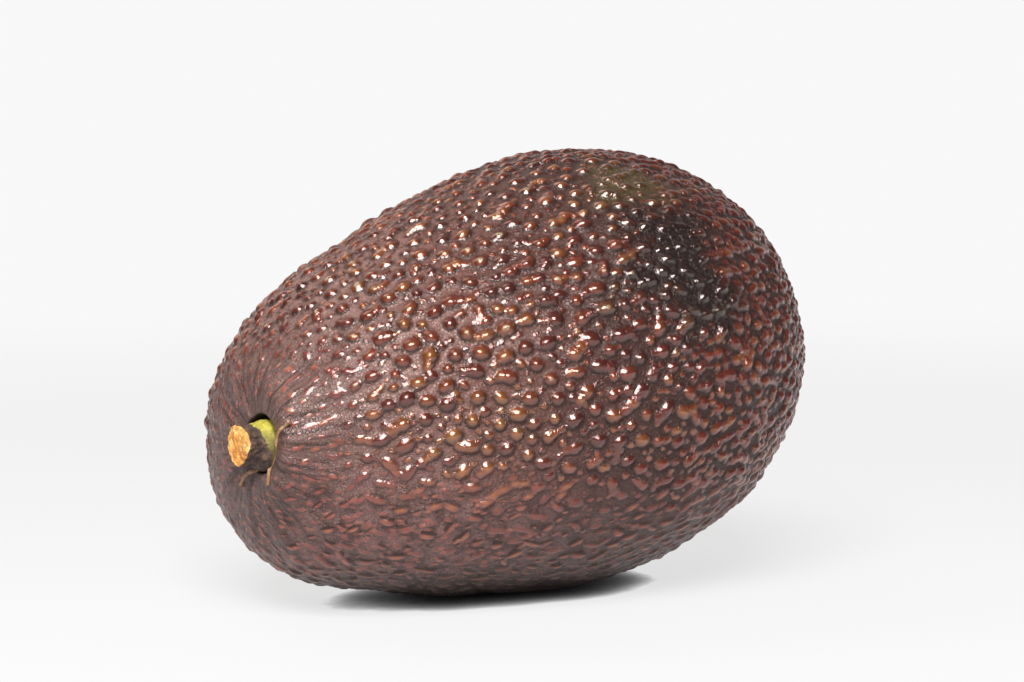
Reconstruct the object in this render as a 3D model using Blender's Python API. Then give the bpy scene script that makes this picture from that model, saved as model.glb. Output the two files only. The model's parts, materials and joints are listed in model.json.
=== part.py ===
"""An avocado lying on its side, with the stub of its stem in the seat at its narrow end.

Metres, +Z up. The fruit's long side runs along X with the stem end at -X, and the origin is on the
surface it lies on, under the middle of its box. The pebbled skin is a net of cells, each a low dome.
"""

import math
import random

import bmesh
import bpy
import numpy as np
from mathutils import Matrix, Vector

MM = 0.001

# The fruit's body. Its own axis is X, and its narrow pole is at -X.
LENGTH = 103.3 * MM
WIDTH = 68.7 * MM
DEPTH_SHARE = 1.02  # how much wider it is across than it is high
TAPER = 0.218  # how much narrower the stem half is
WAIST = 0.218  # how much both ends are drawn in
SHOULDER = 0.494  # how much the stem end swells back out
BLUNT = 0.241  # how far the rounding is moved into the ends
BLUNT_SKEW = -0.119  # how much more of it goes to the blossom end
NECK_DROP = 8.2 * MM
NECK_SIDE = 1.6 * MM

# How it lies
TIP = math.radians(5.0)  # the stem end dips
SET_DOWN = Vector((0.95, -0.3, 35.9)) * MM

# The seat of the stem, off the narrow pole, and the stub that stands in it
STEM_POLE_ANGLE = 0.263
STEM_TURN = 2.67
STEM_AXIS = Vector((-0.99, 0.0, 0.13)).normalized()
SEAT_SIDES = 22
SEAT_RADIUS = 4.5 * MM
SEAT_RIM_RADIUS = 4.9 * MM
SEAT_FLOOR_RADIUS = 4.1 * MM
SEAT_DEPTH = 3.4 * MM
SEAT_EDGE = 0.25 * MM  # how far the wall's top lies below the rim
LIP_HEIGHT = 0.3 * MM
LIP_ANGLE = 0.17  # radians from the stem to the lip's crest
LIP_SPREAD = 0.05

# The pebbles. They are placed by throwing darts, and one is kept where it has room.
PEBBLE_SPACING = 4.35 * MM
UNDERSIDE_SPACING = 5.8 * MM
STEM_SPACING = 2.5 * MM
STEM_RING = 0.225  # radians from the stem to the ring of wrinkles round it
PEBBLE_HEIGHT = 0.78 * MM
PEBBLE_UNEVEN = (0.65, 1.25)  # the least and the most of that height
SHOULDER_REACH = 0.5  # where a pebble's flank turns into its dome, as a share of its reach
SHOULDER_HEIGHT = 0.85  # and as a share of its height
SEED = 7
DARTS = 16000

# The folds that run out from the stem
FOLDS = 11
FOLD_DEPTH = 0.45 * MM

# The stub, as radius and height from the seat's rim in mm: foot, collar, neck and cut end
STUB_SIDES = 28
STUB_GAP = 0.3 * MM
STUB_DROP = 0.3 * MM  # how far below the seat's middle it stands
STUB_PROFILE = (
    (3.3, (STUB_GAP - SEAT_DEPTH) / MM),
    (3.7, -2.0),
    (3.9, -0.9),
    (3.85, 0.0),
    (3.55, 0.6),
    (3.2, 1.2),
    (3.15, 2.2),
    (3.25, 3.2),
    (3.3, 3.85),
    (3.05, 4.15),
    (1.5, 4.25),
)
STUB_OVAL = 0.04
STUB_LOBES = 0.03

# The blossom end's scar
SCAR_RADIUS = 0.09  # radians
SCAR_DEPTH = 0.9 * MM


def smooth(low, high, value):
    """0 below low, 1 above high, and an even curve between them."""
    t = min(1.0, max(0.0, (value - low) / (high - low)))
    return t * t * (3.0 - 2.0 * t)


def body_point(direction):
    """The bare fruit's surface where this unit vector from its middle points."""
    c = -direction.x
    girth = WIDTH / 2 * (1 - TAPER * c - WAIST * c**2 + SHOULDER * c**3)
    x = -LENGTH / 2 * (c + (BLUNT + BLUNT_SKEW * c) * (1 - c**2) * c)
    neck = ((1 + c) / 2) ** 2
    return Vector((
        x,
        girth * direction.y * DEPTH_SHARE + NECK_SIDE * neck,
        girth * direction.z - NECK_DROP * neck,
    ))


def body_normal(direction, step=0.002):
    """The way out of the bare fruit there."""
    side = direction.orthogonal().normalized()
    other = direction.cross(side)
    here = body_point(direction)
    ahead = body_point((direction + side * step).normalized()) - here
    across = body_point((direction + other * step).normalized()) - here
    return ahead.cross(across).normalized()


def polar(angle, turn):
    """The unit vector at this angle from the narrow pole, turned from +Y towards +Z."""
    return Vector((-math.cos(angle), math.sin(angle) * math.cos(turn), math.sin(angle) * math.sin(turn)))


LYING = Matrix.Translation(SET_DOWN) @ Matrix.Rotation(-TIP, 4, "Y")
STEM = polar(STEM_POLE_ANGLE, STEM_TURN)
STEM_FRAME = Matrix.Translation(body_point(STEM)) @ STEM_AXIS.to_track_quat("Z", "Y").to_matrix().to_4x4()


def around_stem(direction):
    """The angle from the stem and the turn about it, in radians."""
    side = STEM.orthogonal().normalized()
    other = STEM.cross(side)
    turn = math.atan2(direction.dot(other), direction.dot(side))
    return direction.angle(STEM), turn


def folds(direction):
    """How far the skin sinks between the folds that run out from the stem."""
    away, turn = around_stem(direction)
    wander = 0.5 * math.sin(2 * turn + 1.0) + 0.35 * math.sin(3 * turn + 6 * away)
    share = 1 - smooth(0.25, 0.95, away)
    return -FOLD_DEPTH * share * (0.5 + 0.5 * math.cos(FOLDS * turn + 2 * wander))


def pebble_share(direction):
    """How high the pebbles stand there, against those of the fruit's upper side."""
    away, _ = around_stem(direction)
    place = LYING @ body_point(direction)
    near_stem = 0.25 + 0.75 * smooth(0.25, 0.75, away)
    under = 0.1 + 0.9 * smooth(9 * MM, 24 * MM, place.length)
    low_side = 0.7 + 0.3 * smooth(10 * MM, 34 * MM, place.z)
    return near_stem * under * low_side


def even_angles(steps=400):
    """Angles from the narrow pole, and where each lies on a sphere that keeps the skin's own shapes."""
    angles = np.linspace(0.01, math.pi - 0.01, steps)
    points = [body_point(polar(a, 0)) for a in angles]
    girths = [(body_point(polar(a, 0)) - body_point(polar(a, math.pi))).length / 2 for a in angles]
    travel = [0.0]
    for i in range(1, steps):
        travel.append(travel[-1] + (points[i] - points[i - 1]).length * 2 / (girths[i] + girths[i - 1]))
    middle = travel[steps // 2]
    return angles, [2 * math.atan(math.exp(t - middle)) for t in travel]


def pebble_spacing(direction):
    """How far apart the pebbles stand there: closest at the stem, widest below."""
    away, _ = around_stem(direction)
    place = LYING @ body_point(direction)
    below = 1 - smooth(4 * MM, 30 * MM, place.z)
    open_skin = PEBBLE_SPACING + (UNDERSIDE_SPACING - PEBBLE_SPACING) * below
    return STEM_SPACING + (open_skin - STEM_SPACING) * smooth(STEM_RING, 3 * STEM_RING, away)


def pebble_seeds():
    """Unit vectors, the first the stem's and one for each pebble, none nearer than the spacing."""
    draw = random.Random(SEED)
    tilted = Matrix.Rotation(STEM_RING, 3, STEM.orthogonal().normalized()) @ STEM
    ring = [Matrix.Rotation(math.tau * i / SEAT_SIDES, 3, STEM) @ tilted for i in range(SEAT_SIDES)]
    seeds = [STEM, *ring]
    places = np.array([list(body_point(s)) for s in seeds])
    for _ in range(DARTS):
        z = draw.uniform(-1, 1)
        turn = draw.uniform(0, math.tau)
        flat = math.sqrt(1 - z * z)
        seed = Vector((z, flat * math.cos(turn), flat * math.sin(turn)))
        if seed.angle(STEM) < STEM_RING:
            continue
        place = np.array(body_point(seed))
        nearest = np.linalg.norm(places - place, axis=1).min()
        if nearest > pebble_spacing(seed):
            seeds.append(seed)
            places = np.vstack([places, place])
    return seeds


def cells_of(seeds):
    """The net of cells round the seeds: its corner directions, and each seed's ring of corners."""
    angles, even = even_angles()
    hull = bmesh.new()
    points = []
    for seed in seeds:
        angle = math.acos(max(-1.0, min(1.0, -seed.x)))
        points.append(hull.verts.new(polar(np.interp(angle, angles, even), math.atan2(seed.z, seed.y))))
    bmesh.ops.convex_hull(hull, input=points)
    bmesh.ops.triangulate(hull, faces=hull.faces[:])
    hull.faces.index_update()
    hull.verts.index_update()
    corners = [sum((seeds[v.index] for v in f.verts), Vector()).normalized() for f in hull.faces]
    cells = []
    for seed, point in zip(seeds, points):
        side = seed.orthogonal().normalized()
        other = seed.cross(side)

        def turn(face):
            out = corners[face.index] - seed
            return math.atan2(out.dot(other), out.dot(side))

        cells.append([f.index for f in sorted(point.link_faces, key=turn)])
    hull.free()
    return corners, cells


def raised(direction, height):
    """The skin's surface in that direction, this high above the bare fruit."""
    away, _ = around_stem(direction)
    from_blossom = direction.angle(Vector((1, 0, 0)))
    lip = LIP_HEIGHT * math.exp(-(((away - LIP_ANGLE) / LIP_SPREAD) ** 2))
    scar = -SCAR_DEPTH * (1 - smooth(0.3 * SCAR_RADIUS, 1.6 * SCAR_RADIUS, from_blossom))
    rise = height + folds(direction) + lip + scar
    return LYING @ (body_point(direction) + body_normal(direction) * rise)


def on_seat_circle(point, radius, height=None):
    """The point moved to this radius about the stem's axis, and to this height along it."""
    local = (LYING @ STEM_FRAME).inverted() @ point
    flat = Vector((local.x, local.y, 0)).normalized() * radius
    return LYING @ STEM_FRAME @ Vector((flat.x, flat.y, local.z if height is None else height))


def make_seat(mesh, rim):
    """The stem's seat: a rim, a wall and a floor inside this ring of points."""
    for point in rim:
        point.co = on_seat_circle(point.co, SEAT_RIM_RADIUS)
    down = (LYING @ STEM_FRAME).to_3x3() @ Vector((0, 0, -SEAT_EDGE))
    wall_top = [mesh.verts.new(on_seat_circle(p.co, SEAT_RADIUS) + down) for p in rim]
    floor = [mesh.verts.new(on_seat_circle(p.co, SEAT_FLOOR_RADIUS, -SEAT_DEPTH)) for p in rim]
    for outer, inner in ((rim, wall_top), (wall_top, floor)):
        for i in range(len(rim)):
            j = (i + 1) % len(rim)
            mesh.faces.new((outer[i], outer[j], inner[j], inner[i]))
    middle = mesh.verts.new(LYING @ STEM_FRAME @ Vector((0, 0, -SEAT_DEPTH)))
    for i in range(len(rim)):
        mesh.faces.new((floor[i], floor[(i + 1) % len(rim)], middle))


def make_pebble(mesh, seed, ring, height):
    """One cell of the skin: flanks that rise from its ring of corners to a low dome."""
    peak = mesh.verts.new(raised(seed, height))
    shoulder = []
    for corner in ring:
        inner = seed.lerp(corner[0], SHOULDER_REACH).normalized()
        shoulder.append(mesh.verts.new(raised(inner, height * SHOULDER_HEIGHT)))
    for i in range(len(ring)):
        j = (i + 1) % len(ring)
        mesh.faces.new((ring[i][1], ring[j][1], shoulder[j], shoulder[i]))
        mesh.faces.new((shoulder[i], shoulder[j], peak))


def make_fruit():
    """The whole skin, seat and all, with what would reach below the surface it lies on pressed flat."""
    seeds = pebble_seeds()
    corners, cells = cells_of(seeds)
    draw = random.Random(SEED + 1)
    mesh = bmesh.new()
    points = [mesh.verts.new(raised(c, 0)) for c in corners]
    make_seat(mesh, [points[i] for i in cells[0]])
    for seed, cell in zip(seeds[1:], cells[1:]):
        ring = [(corners[i], points[i]) for i in cell]
        height = PEBBLE_HEIGHT * pebble_share(seed) * draw.uniform(*PEBBLE_UNEVEN)
        make_pebble(mesh, seed, ring, height)
    for point in mesh.verts:
        point.co.z = max(point.co.z, 0)
    bmesh.ops.recalc_face_normals(mesh, faces=mesh.faces[:])
    return add_object("fruit", mesh)


def make_stem():
    """The stub: a turned foot, collar and neck, made uneven, with its end cut off."""
    mesh = bmesh.new()
    line = [mesh.verts.new((radius * MM, 0, height * MM)) for radius, height in STUB_PROFILE]
    edges = [mesh.edges.new(pair) for pair in zip(line, line[1:])]
    bmesh.ops.spin(
        mesh,
        geom=line + edges,
        cent=(0, 0, 0),
        axis=(0, 0, 1),
        angle=math.tau,
        steps=STUB_SIDES,
        use_merge=True,
    )
    bmesh.ops.remove_doubles(mesh, verts=mesh.verts, dist=0.01 * MM)
    bmesh.ops.holes_fill(mesh, edges=mesh.edges)
    for point in mesh.verts:
        turn = math.atan2(point.co.y, point.co.x)
        above = smooth(0.5 * MM, 4 * MM, point.co.z)
        uneven = 1 + above * (STUB_OVAL * math.cos(2 * turn + 0.6) + STUB_LOBES * math.cos(3 * turn))
        point.co.x *= uneven
        point.co.y *= uneven
        point.co.y -= STUB_DROP
    bmesh.ops.recalc_face_normals(mesh, faces=mesh.faces[:])
    stem = add_object("stem", mesh)
    stem.matrix_world = LYING @ STEM_FRAME
    return stem


def add_object(name, mesh):
    """A new object that holds this mesh, shaded smooth but for its sharp edges."""
    data = bpy.data.meshes.new(name)
    mesh.to_mesh(data)
    mesh.free()
    made = bpy.data.objects.new(name, data)
    bpy.context.scene.collection.objects.link(made)
    data.shade_smooth()
    data.set_sharp_from_angle(angle=math.radians(80))
    return made


def give_material(made, name, colour, roughness):
    """One plain material for the whole object."""
    material = bpy.data.materials.new(name)
    material.use_nodes = True
    shader = material.node_tree.nodes["Principled BSDF"]
    shader.inputs["Base Color"].default_value = (*colour, 1)
    shader.inputs["Roughness"].default_value = roughness
    shader.inputs["Metallic"].default_value = 0
    made.data.materials.append(material)


def main():
    for old in list(bpy.data.objects):
        bpy.data.objects.remove(old)
    give_material(make_fruit(), "avocado_skin", (0.065, 0.027, 0.024), 0.38)
    give_material(make_stem(), "stem_wood", (0.25, 0.13, 0.05), 0.7)


main()
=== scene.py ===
"""The looks of a ripe, dark, pebbly-skinned avocado: its rind, its stem's stub and a pale studio."""

import json
import math
import random
from types import SimpleNamespace

import bpy
import numpy as np
from mathutils import Matrix, Vector, kdtree

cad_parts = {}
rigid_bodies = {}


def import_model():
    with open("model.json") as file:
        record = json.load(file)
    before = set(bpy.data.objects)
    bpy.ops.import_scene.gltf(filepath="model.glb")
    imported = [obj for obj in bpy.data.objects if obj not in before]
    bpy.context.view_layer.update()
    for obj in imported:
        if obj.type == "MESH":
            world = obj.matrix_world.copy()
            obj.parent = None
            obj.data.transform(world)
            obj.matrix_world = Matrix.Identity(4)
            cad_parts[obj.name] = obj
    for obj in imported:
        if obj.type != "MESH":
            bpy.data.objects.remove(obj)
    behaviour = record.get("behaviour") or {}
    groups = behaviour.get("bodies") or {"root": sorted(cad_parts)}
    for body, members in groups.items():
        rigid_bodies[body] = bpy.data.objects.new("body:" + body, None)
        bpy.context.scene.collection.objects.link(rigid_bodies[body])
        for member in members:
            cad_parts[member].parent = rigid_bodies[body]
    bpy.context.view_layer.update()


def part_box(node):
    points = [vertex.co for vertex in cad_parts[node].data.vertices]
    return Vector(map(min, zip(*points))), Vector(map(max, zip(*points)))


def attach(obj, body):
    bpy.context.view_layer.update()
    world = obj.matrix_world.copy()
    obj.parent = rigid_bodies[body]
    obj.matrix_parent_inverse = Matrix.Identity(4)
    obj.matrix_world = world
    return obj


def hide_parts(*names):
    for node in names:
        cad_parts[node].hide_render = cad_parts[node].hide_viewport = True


bl_info = {
    "name": "Pebbled Avocado",
    "version": (1, 0, 0),
    "blender": (4, 5, 0),
    "location": "3D View > Sidebar > Avocado",
    "description": "Makes the rind, the stem's stub and a pale studio for an avocado",
    "category": "Object",
}

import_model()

MM = 0.001

# The bare fruit, as the frame's fruit has it. Its own axis is X, its narrow pole at -X.
DEPTH_SHARE = 1.02
TAPER = 0.218
WAIST = 0.218
SHOULDER = 0.494
BLUNT = 0.241
BLUNT_SKEW = -0.119
NECK_DROP = 8.2 * MM
NECK_SIDE = 1.6 * MM
TIP = math.radians(5.0)
SET_DOWN = Vector((0.95, -0.3, 35.9)) * MM

# The stem's seat. Here and below, angles from the stem are in radians.
STEM_POLE_ANGLE = 0.263
STEM_TURN = 2.67
STEM_AXIS = Vector((-0.99, 0.0, 0.13)).normalized()
SEAT_RIM_RADIUS = 4.75 * MM
STUB_DROP = 0.3 * MM
SEAT_DEPTH = 3.1 * MM
LIP_HEIGHT = 0.3 * MM
LIP_ANGLE = 0.17
LIP_SPREAD = 0.05

# The seat's wall and floor: share of the rim's radius, drop in millimetres, and how level the ring is
SEAT_STEPS = (
    (0.955, -0.1, 0.0), (0.93, -0.5, 0.0), (0.91, -1.2, 0.2),
    (0.9, -2.0, 0.6), (0.88, 0.0, 1.0), (0.55, 0.0, 1.0),
)

# How the first rings of skin are drawn in to the seat's rim, and raised to it
EASE_REACH = 0.26
EASE_PACE = 0.037
SWELL_START = 0.02
SWELL_REACH = 0.4
RIM_LEVEL = 0.15 * MM

# Folds that run out from the stem, and where each kind fades
FOLDS = 11
FOLD_DEPTH = 0.45 * MM
FOLD_SPAN = (0.25, 0.95)
FINE_FOLDS = 37
FINE_FOLD_DEPTH = 0.06 * MM
FINE_FOLD_SPAN = (0.2, 0.6)

# The scar at the blossom end
SCAR_RADIUS = 0.09
SCAR_DEPTH = 0.9 * MM

# The faint hollow on top of the neck
NECK_HOLLOW = Vector((-16.2, 10.8, 55.0)) * MM
HOLLOW_REACH = 15.0 * MM
HOLLOW_DEPTH = 0.8 * MM

# Soft lumps of the skin: height and size in millimetres, and a seed
SKIN_WAVES = ((0.14, 9, 5), (0.06, 2.6, 6))

# The rind's net of points. Its rings start at the rim and lie closer near the stem.
NET_SEED = 3
SKIN_PER_RADIAN = 0.0372
LAST_RING = math.pi - 0.006
NEAR_GRAIN = 0.62
GRAIN_GAIN = 0.38
GRAIN_SPAN = (0.2, 0.6)
RING_PACE = 0.87
PROBE = 0.01

# Each size of pebble: throws, then its least and most radius and its gap in millimetres
PEBBLE_SIZES = (
    (14000, 1.0, 1.32, 0.42),
    (30000, 0.66, 0.92, 0.3),
    (40000, 0.4, 0.58, 0.2),
)
THROW_SEED = 11
GROW_SEED = 23
BIN = 3.8 * MM
BARE_ANGLE = 0.22
LARGE = 0.7
PEBBLE_RISE = 0.58
TWIN_SHARE = 0.38
DOME_SKIRT = 1.16
DOME_BLEND = 4.0
NEIGHBOURS = 9
HEIGHT_UNIT = 0.5 * MM
FARTHEST = 3.0

# The stub's outline from its foot up: radius, and height over the seat's plane, in millimetres
STUB_STEPS = (
    (3.3, -2.9), (3.7, -2.0), (3.95, -0.9), (3.95, 0.0), (3.7, 0.6), (3.35, 1.1), (3.12, 1.6),
    (3.1, 2.3), (3.2, 3.1), (3.25, 3.75), (3.1, 4.1),
)
STUB_SIDES = 72
CUT_RINGS = 7
CUT_RING_SHARE = 8.5
BARK_SEED = 31
RIDGE_SEED = 32

# Lumps of the stub's cut end: height and size in millimetres, and a seed
CUT_WAVES = ((0.16, 1.7, 33), (0.08, 0.7, 34))

# Each torn fibre: its radius, then its way over the seat's plane, sideways to the viewer and up, in mm
FIBRES = (
    (0.27, ((7.5, 4.1), (5.8, 2.8), (4.8, 1.3), (4.3, -0.9), (2.6, -3.7))),
    (0.31, ((2.8, -3.3), (2.7, -4.4), (2.4, -6.1))),
    (0.33, ((-0.2, -3.7), (-2.4, -4.5), (-4.9, -5.4), (-6.1, -7.1))),
)
FIBRE_SEED = 8
FIBRE_START = 6 * MM
FIBRE_LOWEST = -0.4 * MM
FIBRE_LIFT = 0.08 * MM
FIBRE_END_SHARE = 0.55

# Colours of the skin between the pebbles
WAX_DARK = (0.096, 0.035, 0.028)
WAX_PALE = (0.158, 0.073, 0.060)
WAX_STAIN = (0.046, 0.014, 0.011)
WAX_WRINKLE = (0.030, 0.012, 0.010)
WAX_AT_BROAD_END = (0.019, 0.006, 0.005)
WAX_AT_STEM = (0.066, 0.036, 0.032)
# Painted sheen: the wax paler on the neck
NECK_PAINTED_SHEEN = (0.205, 0.124, 0.108)
BELLY_WAX = (0.180, 0.098, 0.090)
BELLY_STAIN = (0.040, 0.018, 0.016)
BELLY_FLECK = (0.420, 0.125, 0.090)

# Colours of the pebbles
PEBBLE_DARKEST = (0.080, 0.014, 0.009)
PEBBLE_DARK = (0.122, 0.022, 0.011)
PEBBLE_RUST = (0.178, 0.044, 0.016)
PEBBLE_COPPER = (0.200, 0.062, 0.021)
PEBBLE_AMBER = (0.240, 0.098, 0.026)
PEBBLE_AT_BROAD_END = (0.125, 0.016, 0.009)
PEBBLE_AT_STEM = (0.260, 0.060, 0.050)
# Painted glow round the pebbles' highlights, on their crowns
PEBBLE_PAINTED_GLOW = (0.32, 0.120, 0.032)
# Painted shade at the pebbles' feet and in the belly's dips above them
PEBBLE_PAINTED_SHADE = (0.018, 0.006, 0.004)
# Painted light from the floor on the lower half of the belly's pebbles, painted shade on their upper half
BELLY_PINK_PAINTED_LIT = (0.560, 0.180, 0.142)
BELLY_PINK_PAINTED_SHADE = (0.220, 0.070, 0.056)
BELLY_PINK_DULL = (0.110, 0.040, 0.034)
CORK = (0.30, 0.20, 0.105)
CORK_CRACK = (0.04, 0.020, 0.010)

# Colours of single places on the rind
OLIVE = (0.060, 0.042, 0.013)
BLACK = (0.008, 0.005, 0.005)
# Painted shade on the underside next to the floor
UNDERSIDE_PAINTED_SHADE = (0.006, 0.003, 0.003)
STREAK_PALE = (0.150, 0.088, 0.076)
STREAK_DARK = (0.022, 0.012, 0.011)
# Painted shade inside the stem's seat
SEAT_SHADE = (0.014, 0.009, 0.006)

# Where those lie: spans along X or up Z, and centres of patches, in metres
NECK_SPAN = (-0.038, -0.019)
DIM_SPAN = (-0.036, 0.012)
DIMMEST = 0.93
BROAD_END_SPAN = (0.000, 0.030)
AMBER_RISE = (0.020, 0.027)
AMBER_FALL = (0.032, 0.039)
AMBER_SPAN = (-0.018, -0.004)
UNDERSIDE_SHADE_SPAN = (0.001, 0.010)
OLIVE_PLACE = (0.0108, -0.0163, 0.0655)
OLIVE_SPAN = (0.002, 0.013)
BLACK_PLACE = (0.0118, -0.0298, 0.052)
BLACK_SPAN = (0.005, 0.017)
PATCH_RAGGEDNESS = 0.03

# Colours of the stub and its fibres, darkest first
BARK_DARK = (0.020, 0.010, 0.008)
BARK_PALE = (0.16, 0.09, 0.045)
COLLAR_DARK = (0.20, 0.17, 0.015)
COLLAR_PALE = (0.52, 0.46, 0.08)
# Painted shade on the collar's lower side
COLLAR_SHADE = (0.05, 0.036, 0.012)
CUT_DARK = (0.42, 0.15, 0.025)
CUT_PALE = (0.76, 0.47, 0.18)
CUT_CRACK = (0.12, 0.040, 0.010)
FIBRE_DARK = (0.12, 0.052, 0.022)
FIBRE_PALE = (0.50, 0.33, 0.19)

# The floor
FLOOR_SIZE = 30
FLOOR_TINT = (0.24, 0.245, 0.25)
FLOOR_FADE = (0.12, 0.6)
CONTACT_REACH = 0.0035
CONTACT_DEPTH = 2.6

# The photograph's view of the fruit
CAMERA_AZIMUTH = math.radians(-33.75)
CAMERA_ELEVATION = math.radians(5.09)
CAMERA_DISTANCE = 459.3 * MM
CAMERA_RISE = 4.1 * MM
CAMERA_ROLL = math.radians(-0.4)
LENS = 100.0
SENSOR = 36.0

# Each soft light: azimuth and elevation in degrees, then distance, width and height in metres
KEY_LIGHT = (-129, 43, 0.8, 0.50, 0.42)
RIM_LIGHT = (105, 48, 0.9, 0.80, 0.60)
RIM_TINT = (1.0, 0.84, 0.74)
BACK_GLOW_SHARE = 0.5
BACK_GLOW_SPAN = (0.35, 0.9)


def smooth(low, high, value):
    """0 below low, 1 above high, and an even curve between them."""
    t = np.clip((value - low) / (high - low), 0.0, 1.0)
    return t * t * (3.0 - 2.0 * t)


def unit(vectors):
    """The same directions, each one long."""
    return vectors / np.linalg.norm(vectors, axis=-1, keepdims=True)


def body_point(directions, rind):
    """The bare fruit's surface where these unit vectors from its middle point."""
    c = -directions[:, 0]
    girth = rind.width / 2 * (1 - TAPER * c - WAIST * c**2 + SHOULDER * c**3)
    x = -rind.length / 2 * (c + (BLUNT + BLUNT_SKEW * c) * (1 - c**2) * c)
    neck = ((1 + c) / 2) ** 2
    return np.stack([
        x,
        girth * directions[:, 1] * DEPTH_SHARE + NECK_SIDE * neck,
        girth * directions[:, 2] - NECK_DROP * neck,
    ], axis=1)


def tangents(directions):
    """Two unit vectors across each direction: along the fruit and round it."""
    along = np.array([1.0, 0.0, 0.0]) - directions * directions[:, :1]
    flat = np.linalg.norm(along, axis=1) < 1e-6
    along[flat] = (0.0, 1.0, 0.0)
    along = unit(along)
    return along, np.cross(directions, along)


def body_frame(directions, rind, step=0.002):
    """The bare fruit's point, outward normal and lengthwise tangent for each direction."""
    here = body_point(directions, rind)
    along, around = tangents(directions)
    ahead = body_point(unit(directions + along * step), rind) - here
    across = body_point(unit(directions + around * step), rind) - here
    normal = unit(np.cross(ahead, across))
    normal *= np.sign(np.sum(normal * directions, axis=1, keepdims=True))
    lengthwise = unit(ahead - normal * np.sum(ahead * normal, axis=1, keepdims=True))
    return here, normal, lengthwise


def polar(angle, turn):
    """The unit vector at this angle from the narrow pole, turned about the fruit's axis."""
    return Vector((-math.cos(angle), math.sin(angle) * math.cos(turn), math.sin(angle) * math.sin(turn)))


LYING = Matrix.Translation(SET_DOWN) @ Matrix.Rotation(-TIP, 4, "Y")
STEM = polar(STEM_POLE_ANGLE, STEM_TURN)
STEM_UP = (Vector((0, 0, 1)) - STEM * STEM.z).normalized()
STEM_SIDE = STEM_UP.cross(STEM)


def laid(points):
    """Points of the level fruit where they are as it lies."""
    return points @ np.array(LYING.to_3x3()).T + np.array(LYING.translation)


def around_stem(directions):
    """The angle from the stem, and the turn about it from upwards."""
    away = np.arccos(np.clip(directions @ np.array(STEM), -1, 1))
    turn = np.arctan2(directions @ np.array(STEM_SIDE), directions @ np.array(STEM_UP))
    return away, turn


def seat_matrix(rind):
    """Where the stem stands: Z out of the fruit, Y upwards."""
    at = Vector(body_point(np.array([STEM]), rind)[0])
    up = (Vector((0, 0, 1)) - STEM_AXIS * STEM_AXIS.z).normalized()
    side = up.cross(STEM_AXIS)
    turn = Matrix((side, up, STEM_AXIS)).transposed().to_4x4()
    return LYING @ Matrix.Translation(at) @ turn


def waves(points, size, seed, count=28):
    """A soft, seeded unevenness about 0 over points, with lumps of about this size."""
    draw = np.random.default_rng(seed)
    total = np.zeros(len(points))
    for _ in range(count):
        way = unit(draw.normal(size=(1, 3)))[0]
        pitch = 2 * math.pi / (size * draw.uniform(0.8, 2.2))
        total += np.sin(points @ way * pitch + draw.uniform(0, 2 * math.pi))
    return total / math.sqrt(count)


# The rind's net of points

def ring_directions(away, turns):
    """Unit vectors at this angle from the stem, one for each turn about it."""
    out = np.outer(np.cos(turns), STEM_UP) + np.outer(np.sin(turns), STEM_SIDE)
    return math.cos(away) * np.array(STEM) + math.sin(away) * out


def ring_turns(away, rind, spacing, phase):
    """Turns about the stem that space points evenly along the ring at this angle from it."""
    turns = np.linspace(0, 2 * math.pi, 361)
    points = body_point(ring_directions(away, turns), rind)
    steps = np.linalg.norm(np.diff(points, axis=0), axis=1)
    travel = np.concatenate([[0], np.cumsum(steps)])
    count = max(8, int(round(travel[-1] / spacing)))
    places = (np.arange(count) + phase) * travel[-1] / count
    return np.interp(places, travel, turns)


def once_round(turns, start):
    """A ring's turns from this place on and back to it, rising all the way."""
    count = len(turns)
    return [turns[k % count] + (2 * math.pi if k >= count else 0) for k in range(start, start + count + 1)]


def join_rings(faces, start_a, turns_a, start_b, turns_b):
    """Triangles between two rings of points, each a list of rising turns."""
    count_a, count_b = len(turns_a), len(turns_b)
    shift = int(np.searchsorted(turns_b, turns_a[0]))
    rise_a = once_round(turns_a, 0)
    rise_b = once_round(turns_b, shift)
    i = j = 0
    while i < count_a or j < count_b:
        step_a = i < count_a and (j >= count_b or rise_a[i + 1] <= rise_b[j + 1])
        a = start_a + i % count_a
        b = start_b + (shift + j) % count_b
        if step_a:
            faces.append((a, start_a + (i + 1) % count_a, b))
            i += 1
        else:
            faces.append((a, start_b + (shift + j + 1) % count_b, b))
            j += 1


def rind_net(rind):
    """Directions of the rind's points, ring by ring out from the seat's rim, and its triangles."""
    draw = random.Random(NET_SEED)
    away = SEAT_RIM_RADIUS / SKIN_PER_RADIAN
    probes = np.linspace(0, 2 * math.pi, 24, endpoint=False)
    rings = []
    while away < LAST_RING:
        share = NEAR_GRAIN + GRAIN_GAIN * float(smooth(*GRAIN_SPAN, away))
        spacing = rind.grain * share
        rings.append((away, ring_turns(away, rind, spacing, draw.random())))
        near = body_point(ring_directions(away, probes), rind)
        far = body_point(ring_directions(away + PROBE, probes), rind)
        pace = np.linalg.norm(far - near, axis=1).mean() / PROBE
        away += RING_PACE * spacing / pace
    directions = np.concatenate([ring_directions(a, t) for a, t in rings])
    faces = []
    start = 0
    for (_, turns_a), (_, turns_b) in zip(rings, rings[1:]):
        join_rings(faces, start, turns_a, start + len(turns_a), turns_b)
        start += len(turns_a)
    last = rings[-1][1]
    end = len(directions)
    directions = np.vstack([directions, -np.array([STEM])])
    faces += [(start + i, start + (i + 1) % len(last), end) for i in range(len(last))]
    return directions, faces, len(rings[0][1])


# The pebbles

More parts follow.
